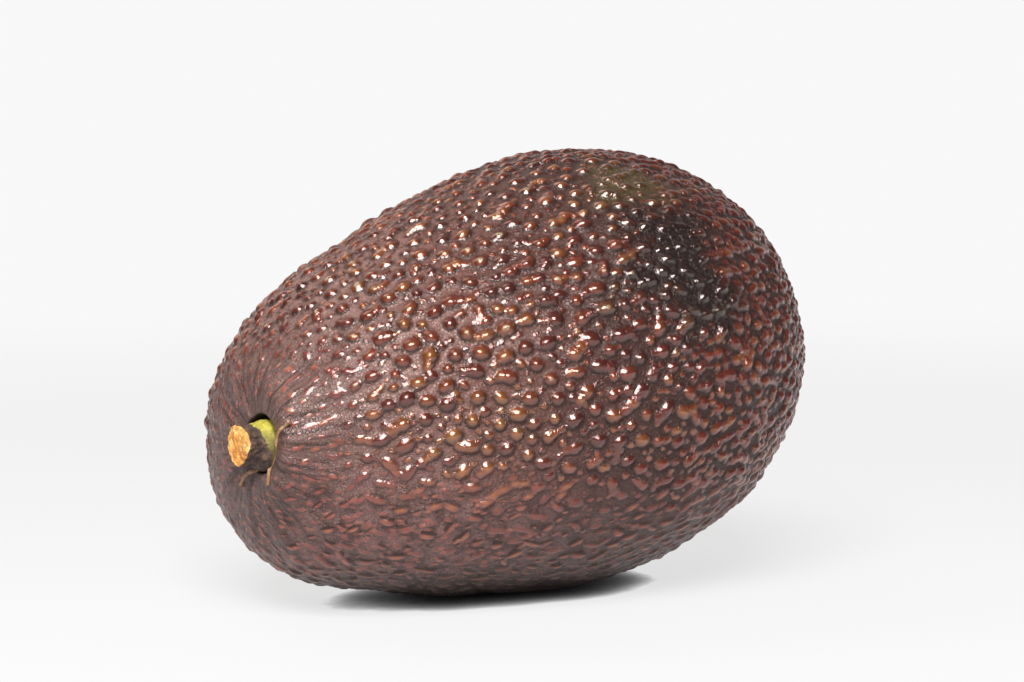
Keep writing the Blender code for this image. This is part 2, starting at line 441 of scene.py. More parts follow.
def pebble_field(place, away):
    """How large, high, drawn out and sparse the pebbles are at these places of the fruit as it lies."""
    z = place[:, 2] / MM
    x = place[:, 0] / MM
    near_stem = 1 - smooth(0.3, 0.75, away)
    low = 1 - smooth(11, 26, z + 0.15 * x)
    broad_end = smooth(-2, 22, x)
    under = 1 - smooth(8, 22, np.linalg.norm(place, axis=1) / MM)
    size = (1 - 0.58 * near_stem) * (1 - 0.35 * low) * (1 - 0.14 * broad_end)
    height = (1 - 0.45 * near_stem) * (1 - 0.15 * low) * (1 - 0.85 * under)
    drawn = 1.08 + 0.4 * near_stem + 0.55 * low + 0.2 * broad_end
    sparse = 1 + 1.2 * near_stem + 1.6 * low - 0.75 * broad_end * (1 - low)
    return size, height, drawn, sparse


def is_clear(bins, key, point, size, gap):
    """Whether a pebble of this size at this point would stand clear of those already there."""
    x, y, z = point
    for a in (-1, 0, 1):
        for b in (-1, 0, 1):
            for c in (-1, 0, 1):
                for other, reach in bins.get((key[0] + a, key[1] + b, key[2] + c), ()):
                    least = reach + size + gap
                    if (x - other[0]) ** 2 + (y - other[1]) ** 2 + (z - other[2]) ** 2 < least * least:
                        return False
    return True


def scatter_pebbles(rind):
    """Directions, radii and size classes of the pebbles: large ones first, small ones where they fit."""
    draw = np.random.default_rng(THROW_SEED)
    bins = {}
    kept = []
    for throws, least, most, gap in PEBBLE_SIZES:
        thrown = unit(draw.normal(size=(throws, 3)))
        size = draw.uniform(least, most, throws)
        away, _ = around_stem(thrown)
        points = laid(body_point(thrown, rind))
        share, _, _, sparse = pebble_field(points, away)
        size = size * share * MM
        room = gap * sparse * MM
        for i in np.nonzero(away > BARE_ANGLE)[0]:
            key = tuple((points[i] // BIN).astype(int))
            if is_clear(bins, key, points[i], size[i], room[i]):
                bins.setdefault(key, []).append((points[i], size[i]))
                kept.append((thrown[i], size[i], least))
    directions, sizes, classes = zip(*kept)
    return np.array(directions), np.array(sizes), np.array(classes)


def grow_pebbles(rind):
    """Every dome of the rind, with those that have grown into a neighbour's side."""
    directions, size, rank = scatter_pebbles(rind)
    draw = np.random.default_rng(GROW_SEED)
    count = len(directions)
    place, normal, lengthwise = body_frame(directions, rind)
    away, _ = around_stem(directions)
    lying = laid(place)
    _, high, drawn, _ = pebble_field(lying, away)
    turn = draw.normal(0, 0.4, count)
    sideways = np.cross(normal, lengthwise)
    long_way = lengthwise * np.cos(turn)[:, None] + sideways * np.sin(turn)[:, None]
    long_way *= np.where(np.cross(normal, long_way)[:, 2] < 0, -1.0, 1.0)[:, None]
    stretch = drawn * draw.uniform(0.85, 1.3, count)
    height = size * PEBBLE_RISE * high * draw.uniform(0.8, 1.15, count)
    tone = draw.uniform(0, 1, count)
    worn = 0.008 + 0.15 * smooth(30, 44, lying[:, 2] / MM) * (1 - smooth(-4, 12, lying[:, 0] / MM))
    cork = (draw.uniform(0, 1, count) < worn) & (rank > LARGE)
    domes = [place, normal, long_way, size, stretch, height, tone, cork.astype(float)]
    twins = np.nonzero((rank > LARGE) & (draw.uniform(0, 1, count) < TWIN_SHARE))[0]
    way = np.where(draw.uniform(size=len(twins)) < 0.5, -1.0, 1.0)[:, None]
    lean = draw.normal(0, 0.45, (len(twins), 1))
    offset = long_way[twins] * way + np.cross(normal[twins], long_way[twins]) * lean
    apart = size[twins] * stretch[twins] * draw.uniform(0.9, 1.2, len(twins))
    extra = [
        place[twins] + unit(offset) * apart[:, None],
        normal[twins],
        long_way[twins],
        size[twins] * draw.uniform(0.6, 0.9, len(twins)),
        stretch[twins] * 0.92,
        height[twins] * draw.uniform(0.6, 0.95, len(twins)),
        np.clip(tone[twins] + draw.normal(0, 0.15, len(twins)), 0, 1),
        np.zeros(len(twins)),
    ]
    return [np.concatenate(pair) for pair in zip(domes, extra)]


def nearest_domes(points, centres, count):
    """For each point, the places in the list of its nearest domes."""
    tree = kdtree.KDTree(len(centres))
    for i, centre in enumerate(centres):
        tree.insert(centre, i)
    tree.balance()
    found = np.empty((len(points), count), dtype=np.int64)
    for i, point in enumerate(points):
        found[i] = [hit[1] for hit in tree.find_n(point, count)]
    return found


def raise_pebbles(points, rind):
    """The pebbles' height at each point, and where in which dome it lies."""
    centre, normal, long_way, size, stretch, height, tone, cork = grow_pebbles(rind)
    near = nearest_domes(points, centre, NEIGHBOURS)
    least = np.full(len(points), 1e9)
    total = np.zeros(len(points))
    local = np.zeros((len(points), 3))
    shade = np.zeros(len(points))
    corky = np.zeros(len(points))
    for k in range(NEIGHBOURS):
        j = near[:, k]
        off = points - centre[j]
        along = np.sum(off * long_way[j], axis=1) / (size[j] * stretch[j])
        across = np.sum(off * np.cross(normal[j], long_way[j]), axis=1) / size[j]
        reach = np.hypot(along, across)
        dome = np.clip(1 - (reach / DOME_SKIRT) ** 2, 0, 1)
        total += (height[j] * dome) ** DOME_BLEND
        closer = reach < least
        least = np.where(closer, reach, least)
        local[closer] = np.stack([along, across, height[j] / HEIGHT_UNIT], axis=1)[closer]
        shade = np.where(closer, tone[j], shade)
        corky = np.where(closer, cork[j], corky)
    return total ** (1 / DOME_BLEND), least, local, shade, corky


# The skin under the pebbles, and the seat

def skin_relief(directions, points, rind):
    """What the skin does under its pebbles: folds, lip, scar, hollow and soft unevenness."""
    away, turn = around_stem(directions)
    wander = 0.5 * np.sin(2 * turn + 1.0) + 0.35 * np.sin(3 * turn + 6 * away)
    share = 1 - smooth(*FOLD_SPAN, away)
    relief = -FOLD_DEPTH * share * (0.5 + 0.5 * np.cos(FOLDS * turn + 2 * wander))
    fine = 1 - smooth(*FINE_FOLD_SPAN, away)
    relief += -FINE_FOLD_DEPTH * fine * np.cos(FINE_FOLDS * turn + 3 * wander + 5 * np.sin(9 * away))
    relief += LIP_HEIGHT * np.exp(-(((away - LIP_ANGLE) / LIP_SPREAD) ** 2))
    from_blossom = np.arccos(np.clip(directions[:, 0], -1, 1))
    relief += -SCAR_DEPTH * (1 - smooth(0.3 * SCAR_RADIUS, 1.6 * SCAR_RADIUS, from_blossom))
    relief += sum(high * MM * waves(points, size * MM, seed) for high, size, seed in SKIN_WAVES)
    from_hollow = np.linalg.norm(laid(points) - np.array(NECK_HOLLOW), axis=1)
    relief -= HOLLOW_DEPTH * np.exp(-((from_hollow / HOLLOW_REACH) ** 2))
    return relief


def ease_rim(points, away, rind):
    """Draw the first rings in to the seat's round rim, and raise the low side of the skin to it."""
    seat = np.array(seat_matrix(rind))
    back = np.linalg.inv(seat)
    local = points @ back[:3, :3].T + back[:3, 3]
    flat = np.hypot(local[:, 0], local[:, 1])
    wanted = SEAT_RIM_RADIUS + (away - away.min()) * EASE_PACE
    share = 1 - smooth(away.min(), EASE_REACH, away)
    eased = (wanted * share + flat * (1 - share)) / np.maximum(flat, 1e-9)
    scale = np.where(away < EASE_REACH, eased, 1.0)
    local[:, 0] *= scale
    local[:, 1] *= scale
    swell = 1 - smooth(away.min() + SWELL_START, SWELL_REACH, away)
    local[:, 2] += swell * np.maximum(RIM_LEVEL - local[:, 2], 0)
    return np.where((away < SWELL_REACH)[:, None], local @ seat[:3, :3].T + seat[:3, 3], points)


def make_seat_rings(points, faces, count, rind):
    """The seat inside the rim, which is the first ring of the net: its wall and floor."""
    seat = np.array(seat_matrix(rind))
    back = np.linalg.inv(seat)
    local = points[:count] @ back[:3, :3].T + back[:3, 3]
    turn = np.arctan2(local[:, 1], local[:, 0])
    rim = np.hypot(local[:, 0], local[:, 1])
    rows = []
    for share, sink, level in SEAT_STEPS:
        height = (local[:, 2] + sink * MM) * (1 - level) + level * -SEAT_DEPTH
        flat = rim * share
        rows.append(np.stack([flat * np.cos(turn), flat * np.sin(turn), height], axis=1))
    rows.append(np.array([[0, 0, -SEAT_DEPTH]]))
    inner = np.concatenate(rows) @ seat[:3, :3].T + seat[:3, 3]
    base = len(points)
    rings = [list(range(count))]
    for k in range(len(SEAT_STEPS)):
        rings.append(list(range(base + k * count, base + (k + 1) * count)))
    for outer, inward in zip(rings, rings[1:]):
        for i in range(count):
            j = (i + 1) % count
            faces += [(outer[i], inward[j], outer[j]), (outer[i], inward[i], inward[j])]
    middle = base + len(SEAT_STEPS) * count
    faces += [(rings[-1][i], middle, rings[-1][(i + 1) % count]) for i in range(count)]
    return np.vstack([points, inner])


def new_mesh_object(name, points, faces):
    """An object in the scene with a mesh of these points and triangles."""
    data = bpy.data.meshes.new(name)
    data.from_pydata([tuple(p) for p in points], [], faces)
    data.validate()
    made = bpy.data.objects.new(name, data)
    bpy.context.scene.collection.objects.link(made)
    return made


def store(data, name, values):
    """A value or a vector for each of the mesh's points, which its material reads by name."""
    kind = "FLOAT" if values.ndim == 1 else "FLOAT_VECTOR"
    key = "value" if values.ndim == 1 else "vector"
    data.attributes.new(name, kind, "POINT").data.foreach_set(key, values.astype(np.float32).ravel())


def deselect_all(context):
    """Leave nothing selected, so that the next operator acts on its own piece alone."""
    for other in context.view_layer.objects:
        other.select_set(False)


# Materials

class Graph:
    """Short forms for building one material's nodes."""

    def __init__(self, name):
        self.material = bpy.data.materials.new(name)
        self.material.use_nodes = True
        self.tree = self.material.node_tree
        self.shader = self.tree.nodes["Principled BSDF"]

    def add(self, kind, inputs=None, **settings):
        node = self.tree.nodes.new(kind)
        for key, value in settings.items():
            setattr(node, key, value)
        for key, value in (inputs or {}).items():
            self.put(node.inputs[key], value)
        return node

    def put(self, socket, value):
        if isinstance(value, bpy.types.NodeSocket):
            self.tree.links.new(value, socket)
        elif isinstance(value, (tuple, list)) and len(value) == 3 and socket.type == "RGBA":
            socket.default_value = (*value, 1)
        else:
            socket.default_value = value

    def finish(self, name, value):
        """Feed one of the shader's own sockets."""
        self.put(self.shader.inputs[name], value)

    def value(self, name):
        return self.add("ShaderNodeAttribute", attribute_name=name).outputs["Fac"]

    def vector(self, name):
        return self.add("ShaderNodeAttribute", attribute_name=name).outputs["Vector"]

    def place(self):
        return self.add("ShaderNodeTexCoord").outputs["Object"]

    def math(self, operation, a, b=0.0, clamp=False):
        return self.add("ShaderNodeMath", {0: a, 1: b}, operation=operation, use_clamp=clamp).outputs[0]

    def plus(self, a, b):
        return self.math("ADD", a, b)

    def less(self, a, b):
        return self.math("SUBTRACT", a, b)

    def times(self, a, b):
        return self.math("MULTIPLY", a, b)

    def centred(self, value):
        """A noise's value about 0, so that it lifts a surface as much as it lowers it."""
        return self.less(value, 0.5)

    def vectors(self, operation, a, b=(0, 0, 0), output="Vector"):
        return self.add("ShaderNodeVectorMath", {0: a, 1: b}, operation=operation).outputs[output]

    def between(self, value, low, high, to_low=0.0, to_high=1.0):
        inputs = {"Value": value, "From Min": low, "From Max": high, "To Min": to_low, "To Max": to_high}
        return self.add("ShaderNodeMapRange", inputs, interpolation_type="SMOOTHSTEP").outputs["Result"]

    def along(self, share, at_none, at_all):
        """One value where the share is 0 and another where it is 1."""
        return self.between(share, 0.0, 1.0, at_none, at_all)

    def mix(self, share, a, b):
        node = self.add("ShaderNodeMix", data_type="RGBA")
        self.put(node.inputs["Factor"], share)
        self.put(node.inputs[6], a)
        self.put(node.inputs[7], b)
        return node.outputs[2]

    def ramp(self, value, stops):
        node = self.add("ShaderNodeValToRGB", {"Fac": value})
        ends = node.color_ramp.elements
        while len(ends) < len(stops):
            ends.new(0.5)
        for end, (place, colour) in zip(ends, stops):
            end.position = place
            end.color = (*colour, 1)
        return node.outputs["Color"]

    def noise(self, vector, scale, detail, rough, warp=0.0):
        inputs = {"Vector": vector, "Scale": scale, "Detail": detail, "Roughness": rough, "Distortion": warp}
        return self.add("ShaderNodeTexNoise", inputs).outputs["Fac"]

    def cells(self, vector, scale, feature="F1"):
        node = self.add("ShaderNodeTexVoronoi", {"Vector": vector, "Scale": scale}, feature=feature)
        return node.outputs["Distance"]

    def stretch(self, vector, amounts):
        return self.add("ShaderNodeMapping", {"Vector": vector, "Scale": amounts}).outputs["Vector"]

    def axis(self, vector, index):
        return self.add("ShaderNodeSeparateXYZ", {"Vector": vector}).outputs[index]

    def near(self, vector, centre, low, high):
        """1 within low of the centre, 0 beyond high, in metres."""
        away = self.vectors("DISTANCE", vector, centre, "Value")
        return self.between(away, low, high, 1.0, 0.0)

    def bump(self, height, distance, strength=1.0, normal=None):
        node = self.add("ShaderNodeBump", {"Height": height, "Distance": distance, "Strength": strength})
        if normal is not None:
            self.put(node.inputs["Normal"], normal)
        return node.outputs["Normal"]


def read_skin(g):
    """The places, stored values and patterns that the rind's colour, gloss and relief share."""
    skin = SimpleNamespace()
    skin.place = g.place()
    skin.x = g.axis(skin.place, 0)
    skin.z = g.axis(skin.place, 2)
    skin.tone = g.value("tone")
    skin.stem = g.value("near_stem")
    skin.belly = g.value("low_front")
    skin.calm = g.math("MAXIMUM", skin.belly, skin.stem)
    skin.broad = g.noise(skin.place, 60, 3, 0.55)
    skin.mid = g.noise(skin.place, 330, 4, 0.6)
    skin.fine = g.noise(skin.place, 2300, 3, 0.6)
    skin.toned = g.plus(skin.tone, g.times(g.centred(skin.broad), 0.9))
    skin.dim = g.between(skin.x, *DIM_SPAN, 0, DIMMEST)
    read_pebble(g, skin)
    read_flecks(g, skin)
    return skin


def read_pebble(g, skin):
    """Where a point lies in its nearest pebble, whose edge is ragged: at its top, side or foot."""
    local = g.vector("in_pebble")
    far = g.value("reach")
    exact = g.vectors("LENGTH", g.vectors("MULTIPLY", local, (1, 1, 0)), output="Value")
    doubt = g.between(g.less(far, exact), 0.12, 0.35)
    reach = g.plus(g.times(exact, g.less(1.0, doubt)), g.times(far, doubt))
    skin.reach = g.plus(reach, g.times(g.centred(skin.mid), g.along(skin.belly, 0.65, 1.1)))
    skin.upper = g.axis(local, 1)
    skin.high = g.axis(local, 2)
    skin.bead = g.between(skin.reach, 0.78, 0.98, 1, 0)
    soft = g.between(skin.reach, 0.35, 1.0, 1, 0)
    skin.paint = g.plus(g.times(skin.bead, g.less(1.0, skin.calm)), g.times(soft, skin.calm))
    skin.crack = g.cells(skin.place, 2600, "DISTANCE_TO_EDGE")
    frayed = g.plus(skin.reach, g.times(skin.fine, 0.6))
    skin.cap = g.times(g.value("cork"), g.between(frayed, 0.5, 0.75, 1, 0))


def read_flecks(g, skin):
    """The belly's dips above its pebbles, which get painted shade, and the pink flecks between them."""
    # A dip above each of the belly's pebbles, darkened with painted shade
    pit = g.times(g.between(skin.upper, 0.2, 0.7), g.between(skin.reach, 0.95, 1.6, 1, 0))
    skin.pit = g.times(pit, g.times(skin.belly, g.between(skin.tone, 0.15, 0.5)))
    dots = g.cells(g.stretch(skin.place, (0.7, 0.7, 1.3)), 620)
    often = g.times(skin.belly, g.between(skin.broad, 0.35, 0.6, 0.4, 1.0))
    skin.speck = g.times(g.between(dots, 0.1, 0.42, 1, 0), often)


def valley_colour(g, rind, skin):
    """Mauve-brown wax, painted paler on the neck as sheen, greyer and flecked on the belly, dark at the
    broad end.
    """
    valley = g.ramp(skin.broad, [(0.3, WAX_DARK), (0.5, tuple(rind.valley_colour)), (0.7, WAX_PALE)])
    # Painted sheen on the neck
    valley = g.mix(g.between(skin.x, *NECK_SPAN, 0.55, 0.0), valley, NECK_PAINTED_SHEEN)
    valley = g.mix(g.between(skin.mid, 0.45, 0.75, 0, 0.55), valley, WAX_STAIN)
    valley = g.mix(g.times(skin.belly, 0.85), valley, BELLY_WAX)
    valley = g.mix(g.times(skin.belly, g.between(skin.mid, 0.42, 0.6, 0.75, 0.0)), valley, BELLY_STAIN)
    valley = g.mix(g.times(skin.stem, 0.6), valley, WAX_AT_STEM)
    valley = g.mix(g.between(skin.fine, 0.48, 0.68, 0, 0.5), valley, WAX_WRINKLE)
    valley = g.mix(g.times(skin.dim, g.along(skin.belly, 1.0, 0.6)), valley, WAX_AT_BROAD_END)
    return g.mix(g.times(skin.speck, g.between(skin.dim, 0.0, DIMMEST, 0.75, 0.4)), valley, BELLY_FLECK)


def pebble_colour(g, rind, skin):
    """Red-brown to copper, amber in a band of the neck, pink low down and by the stem; low down painted
    lighter below and darker above, as if lit from the floor.
    """
    pebble = g.ramp(skin.toned, [
        (0.0, PEBBLE_DARKEST),
        (0.35, PEBBLE_DARK),
        (0.6, tuple(rind.pebble_colour)),
        (0.85, PEBBLE_RUST),
        (1.0, PEBBLE_COPPER),
    ])
    pebble = g.mix(g.times(g.between(skin.x, *BROAD_END_SPAN), 0.75), pebble, PEBBLE_AT_BROAD_END)
    amber = g.times(g.between(skin.z, *AMBER_RISE), g.between(skin.z, *AMBER_FALL, 1, 0))
    amber = g.times(amber, g.between(skin.x, *AMBER_SPAN, 0.5, 0.0))
    amber = g.times(amber, g.between(skin.tone, 0.15, 0.8))
    pebble = g.mix(amber, pebble, PEBBLE_AMBER)
    # Painted floor light on each belly pebble's lower half, painted shade on its upper half
    pink = g.mix(g.between(skin.upper, -0.7, 0.2), BELLY_PINK_PAINTED_LIT, BELLY_PINK_PAINTED_SHADE)
    pink = g.mix(g.between(skin.tone, 0.3, 0.9, 0.45, 0.0), pink, BELLY_PINK_DULL)
    pebble = g.mix(g.times(skin.belly, g.between(skin.dim, 0.0, DIMMEST, 0.85, 0.45)), pebble, pink)
    return g.mix(g.times(skin.stem, 0.8), pebble, PEBBLE_AT_STEM)


def shade_pebbles(g, skin, colour):
    """Paint a copper glow on the pebbles' crowns, and painted shade at their feet, more on their lower side,
    and in the belly's dips above them.
    """
    # Painted glow: copper on the crowns of the brighter pebbles
    crown = g.between(skin.reach, 0.1, 0.6, 1, 0)
    painted_glow = g.times(crown, g.between(skin.toned, 0.45, 1.0, 0.0, 0.6))
    colour = g.mix(painted_glow, colour, PEBBLE_PAINTED_GLOW)
    # Painted shade at each pebble's foot, stronger on its lower side
    foot = g.times(g.between(skin.reach, 0.55, 0.9), g.between(skin.reach, 1.0, 1.35, 1, 0))
    foot = g.times(foot, g.between(skin.upper, -0.4, 0.7, 1.0, 0.3))
    foot = g.times(foot, g.along(skin.calm, 0.85, 0.15))
    shade = g.math("ADD", foot, g.times(skin.pit, 0.9), clamp=True)
    return g.mix(shade, colour, PEBBLE_PAINTED_SHADE)


def add_patches(g, skin, colour):
    """An olive and a black patch with ragged edges near the broad end, and painted shade on the underside
    near the floor.
    """
    noise = g.add("ShaderNodeTexNoise", {"Vector": skin.place, "Scale": 90.0, "Detail": 3.0})
    shift = g.vectors("ADD", noise.outputs["Color"], (-0.5, -0.5, -0.5))
    small = g.add("ShaderNodeVectorMath", {0: shift, "Scale": PATCH_RAGGEDNESS}, operation="SCALE")
    ragged = g.vectors("ADD", skin.place, small.outputs["Vector"])
    olive = g.near(ragged, OLIVE_PLACE, *OLIVE_SPAN)
    colour = g.mix(g.times(olive, 0.65), colour, OLIVE)
    black = g.near(ragged, BLACK_PLACE, *BLACK_SPAN)
    colour = g.mix(g.times(black, 0.88), colour, BLACK)
    # Painted shade low on the underside
    return g.mix(g.between(skin.z, *UNDERSIDE_SHADE_SPAN, 0.95, 0.0), colour, UNDERSIDE_PAINTED_SHADE)


def add_stem_streaks(g, skin, colour):
    """Pale and dark streaks that run out from the stem, and painted shade in the seat."""
    streaks = g.noise(g.vector("stem_spin"), 5.0, 4, 0.6)
    colour = g.mix(g.times(skin.stem, g.between(streaks, 0.5, 0.7, 0, 0.6)), colour, STREAK_PALE)
    colour = g.mix(g.times(skin.stem, g.between(streaks, 0.38, 0.52, 0.8, 0)), colour, STREAK_DARK)
    return g.mix(g.value("in_seat"), colour, SEAT_SHADE)


def gloss_rind(g, rind, skin):
    """Waxy between the pebbles, polished and a little metallic on them, dull on cork and belly."""
    polish = g.times(skin.bead, g.along(skin.belly, 1.0, 0.2))
    rough = g.along(polish, rind.valley_roughness, rind.pebble_roughness)
    rough = g.plus(rough, g.times(g.centred(skin.mid), 0.15))
    g.finish("Roughness", g.plus(rough, g.times(skin.cap, 0.3)))
    sheen = g.times(skin.bead, g.along(skin.calm, 0.5, 0.1))
    g.finish("Metallic", g.times(sheen, g.along(skin.cap, 1.0, 0.2)))
    coat = g.times(g.along(skin.belly, 1.0, 0.15), g.along(skin.stem, 1.0, 0.3))
    g.finish("Coat Weight", g.times(skin.bead, coat))
    g.shader.inputs["IOR"].default_value = 1.52
    g.shader.inputs["Specular Tint"].default_value = (1.0, 0.81, 0.75, 1)
    g.shader.inputs["Coat Roughness"].default_value = 0.15
    g.shader.inputs["Coat IOR"].default_value = 1.64


def raise_rind(g, skin):
    """Wrinkles and lumps finer than the mesh, the pebbles' own roundness, and cracks in their cork."""
    net = g.cells(skin.place, 1900, "DISTANCE_TO_EDGE")
    wrinkles = g.times(g.between(net, 0.0, 0.14, -0.6, 0.4), g.along(skin.bead, 1.0, 0.0))
    wrinkled = g.bump(wrinkles, 0.06 * MM, 0.9)
    small = g.times(g.centred(skin.fine), g.along(skin.bead, 0.9, 0.32))
    large = g.times(g.centred(skin.mid), g.along(skin.bead, 1.0, 0.7))
    lumps = g.plus(g.plus(small, large), g.times(skin.speck, 0.7))
    lumpy = g.bump(lumps, 0.14 * MM, 0.9, wrinkled)
    rise = g.times(g.math("MINIMUM", skin.high, 1.4), g.between(skin.reach, 0.0, DOME_SKIRT, 1, 0))
    beaded = g.bump(g.less(rise, g.times(skin.pit, 0.2)), 0.2 * MM, 1.0, lumpy)
    cracked = g.bump(skin.crack, 0.08 * MM, 1.0, beaded)
    blend = g.add("ShaderNodeMix", data_type="VECTOR")
    g.put(blend.inputs["Factor"], skin.cap)
    g.put(blend.inputs[4], beaded)
    g.put(blend.inputs[5], cracked)
    g.finish("Normal", blend.outputs[1])
    g.finish("Coat Normal", blend.outputs[1])


def rind_material(rind):
    """Dark, waxy skin with red-brown to copper pebbles, a few corky caps and two dull patches."""
    g = Graph("avocado_rind")
    skin = read_skin(g)
    colour = g.mix(skin.paint, valley_colour(g, rind, skin), pebble_colour(g, rind, skin))
    colour = shade_pebbles(g, skin, colour)
    colour = add_patches(g, skin, colour)
    colour = add_stem_streaks(g, skin, colour)
    corky = g.mix(g.between(skin.crack, 0.02, 0.12), CORK_CRACK, CORK)
    g.finish("Base Color", g.mix(skin.cap, colour, corky))
    gloss_rind(g, rind, skin)
    raise_rind(g, skin)
    return g.material


def stub_material(stub):
    """Brown bark, a yellow-green collar with painted shade on its lower side, and a pale orange cut face."""
    g = Graph("avocado_stub")
    place = g.place()
    grain = g.noise(place, 900, 5, 0.65)
    rough = g.noise(place, 2600, 4, 0.7)
    bark = g.ramp(grain, [(0.3, BARK_DARK), (0.5, tuple(stub.bark_colour)), (0.72, BARK_PALE)])
    green = g.ramp(grain, [(0.3, COLLAR_DARK), (0.6, tuple(stub.collar_colour)), (0.75, COLLAR_PALE)])
    # Painted shade on the collar's lower side
    green = g.mix(g.between(g.value("upper"), 0.15, 0.75, 0.85, 0.0), green, COLLAR_SHADE)
    blotch = g.noise(place, 420, 3, 0.6, 0.6)
    face = g.ramp(blotch, [(0.32, CUT_DARK), (0.5, tuple(stub.cut_colour)), (0.68, CUT_PALE)])
    crack = g.between(g.noise(place, 800, 3, 0.7, 2.0), 0.56, 0.66, 0.0, 0.8)
    face = g.mix(crack, face, CUT_CRACK)
    collar = g.plus(g.value("collar"), g.times(g.centred(grain), 1.2))
    colour = g.mix(g.between(collar, 0.35, 0.65), bark, green)
    colour = g.mix(g.between(g.value("cut"), 0.4, 0.6), colour, face)
    g.finish("Base Color", colour)
    g.finish("Roughness", g.between(rough, 0.2, 0.8, 0.5, 0.8))
    lumps = g.bump(grain, 0.35 * MM, 0.8)
    g.finish("Normal", g.bump(rough, 0.12 * MM, 0.8, lumps))
    return g.material


def fibre_material(stub):
    """Dry tan fibres, paler and darker along their length."""
    g = Graph("stem_fibres")
    grain = g.noise(g.place(), 700, 4, 0.65)
    tan = g.ramp(grain, [(0.3, FIBRE_DARK), (0.5, tuple(stub.fibre_colour)), (0.7, FIBRE_PALE)])
    g.finish("Base Color", tan)
    g.shader.inputs["Roughness"].default_value = 0.6
    g.finish("Normal", g.bump(grain, 0.1 * MM, 0.8))
    return g.material


def floor_material(studio):
    """A pale matt floor, dark where the fruit touches it, that fades into a bright ground far off."""
    g = Graph("pale_floor")
    place = g.place()
    tint = g.noise(place, 3.0, 2, 0.5)
    colour = g.mix(g.between(tint, 0.3, 0.7, 0, 0.03), tuple(studio.floor_colour), FLOOR_TINT)
    g.finish("Base Color", colour)
    g.shader.inputs["Roughness"].default_value = 0.8
    g.shader.inputs["Specular IOR Level"].default_value = 0.1
    open_sky = g.add("ShaderNodeAmbientOcclusion", {"Distance": CONTACT_REACH}, samples=4)
    deep = g.add("ShaderNodeGamma", {"Color": open_sky.outputs["Color"], "Gamma": CONTACT_DEPTH})
    g.finish("Emission Color", deep.outputs["Color"])
    g.shader.inputs["Emission Strength"].default_value = studio.floor_glow
    glow = g.add("ShaderNodeEmission", {"Color": (1, 1, 1, 1), "Strength": studio.backdrop})
    share = g.between(g.vectors("LENGTH", place, output="Value"), *FLOOR_FADE)
    join = g.add("ShaderNodeMixShader", {"Fac": share, 1: g.shader.outputs[0], 2: glow.outputs[0]})
    g.tree.links.new(join.outputs[0], g.tree.nodes["Material Output"].inputs["Surface"])
    return g.material


# Settings

class RindSettings(bpy.types.PropertyGroup):
    """Sizes and finish of the rind."""

    length: bpy.props.FloatProperty(
        name="Length", description="Bare fruit from pole to pole", default=103.3 * MM, unit="LENGTH")
    width: bpy.props.FloatProperty(
        name="Width", description="Measure across the bare fruit", default=68.7 * MM, unit="LENGTH")
    grain: bpy.props.FloatProperty(
        name="Grain", description="Distance between the mesh's points", default=0.505 * MM, unit="LENGTH")
    pebble_height: bpy.props.FloatProperty(
        name="Pebble height", description="How high the pebbles stand, 1 as grown",
        default=1.0, subtype="FACTOR")
    valley_colour: bpy.props.FloatVectorProperty(
        name="Valley colour", description="Skin between the pebbles",
        default=(0.126, 0.052, 0.042), subtype="COLOR")
    pebble_colour: bpy.props.FloatVectorProperty(
        name="Pebble colour", description="Most of the pebbles",
        default=(0.165, 0.031, 0.013), subtype="COLOR")
    valley_roughness: bpy.props.FloatProperty(
        name="Valley roughness", description="Waxy bloom between the pebbles",
        default=0.37, subtype="FACTOR")
    pebble_roughness: bpy.props.FloatProperty(
        name="Pebble roughness", description="Polish on the pebbles", default=0.3, subtype="FACTOR")


class StubSettings(bpy.types.PropertyGroup):
    """Colours of the stem's stub and of the torn fibres round it."""

    bark_colour: bpy.props.FloatVectorProperty(
        name="Bark colour", description="Side of the stub",
        default=(0.055, 0.030, 0.022), subtype="COLOR")
    collar_colour: bpy.props.FloatVectorProperty(
        name="Collar colour", description="Swollen ring at its foot",
        default=(0.35, 0.30, 0.030), subtype="COLOR")
    cut_colour: bpy.props.FloatVectorProperty(
        name="Cut colour", description="The end where it was cut",
        default=(0.64, 0.30, 0.065), subtype="COLOR")
    fibre_colour: bpy.props.FloatVectorProperty(
        name="Fibre colour", description="Torn fibres round the seat",
        default=(0.29, 0.155, 0.075), subtype="COLOR")


class StudioSettings(bpy.types.PropertyGroup):
    """The floor and the light."""

    floor_colour: bpy.props.FloatVectorProperty(
        name="Floor colour", description="Pale floor", default=(0.125, 0.126, 0.128), subtype="COLOR")
    floor_glow: bpy.props.FloatProperty(
        name="Floor glow", description="The room's even light on the floor", default=0.71)
    backdrop: bpy.props.FloatProperty(
        name="Backdrop", description="Brightness of the pale ground far from the fruit", default=0.94)
    key_power: bpy.props.FloatProperty(
        name="Key light", description="Power of the soft light in front", default=15.0, unit="POWER")
    rim_power: bpy.props.FloatProperty(
        name="Rim light", description="Power of the soft light behind", default=2.2, unit="POWER")
    room_light: bpy.props.FloatProperty(
        name="Room light", description="Brightness of the room", default=0.1)


# The rind

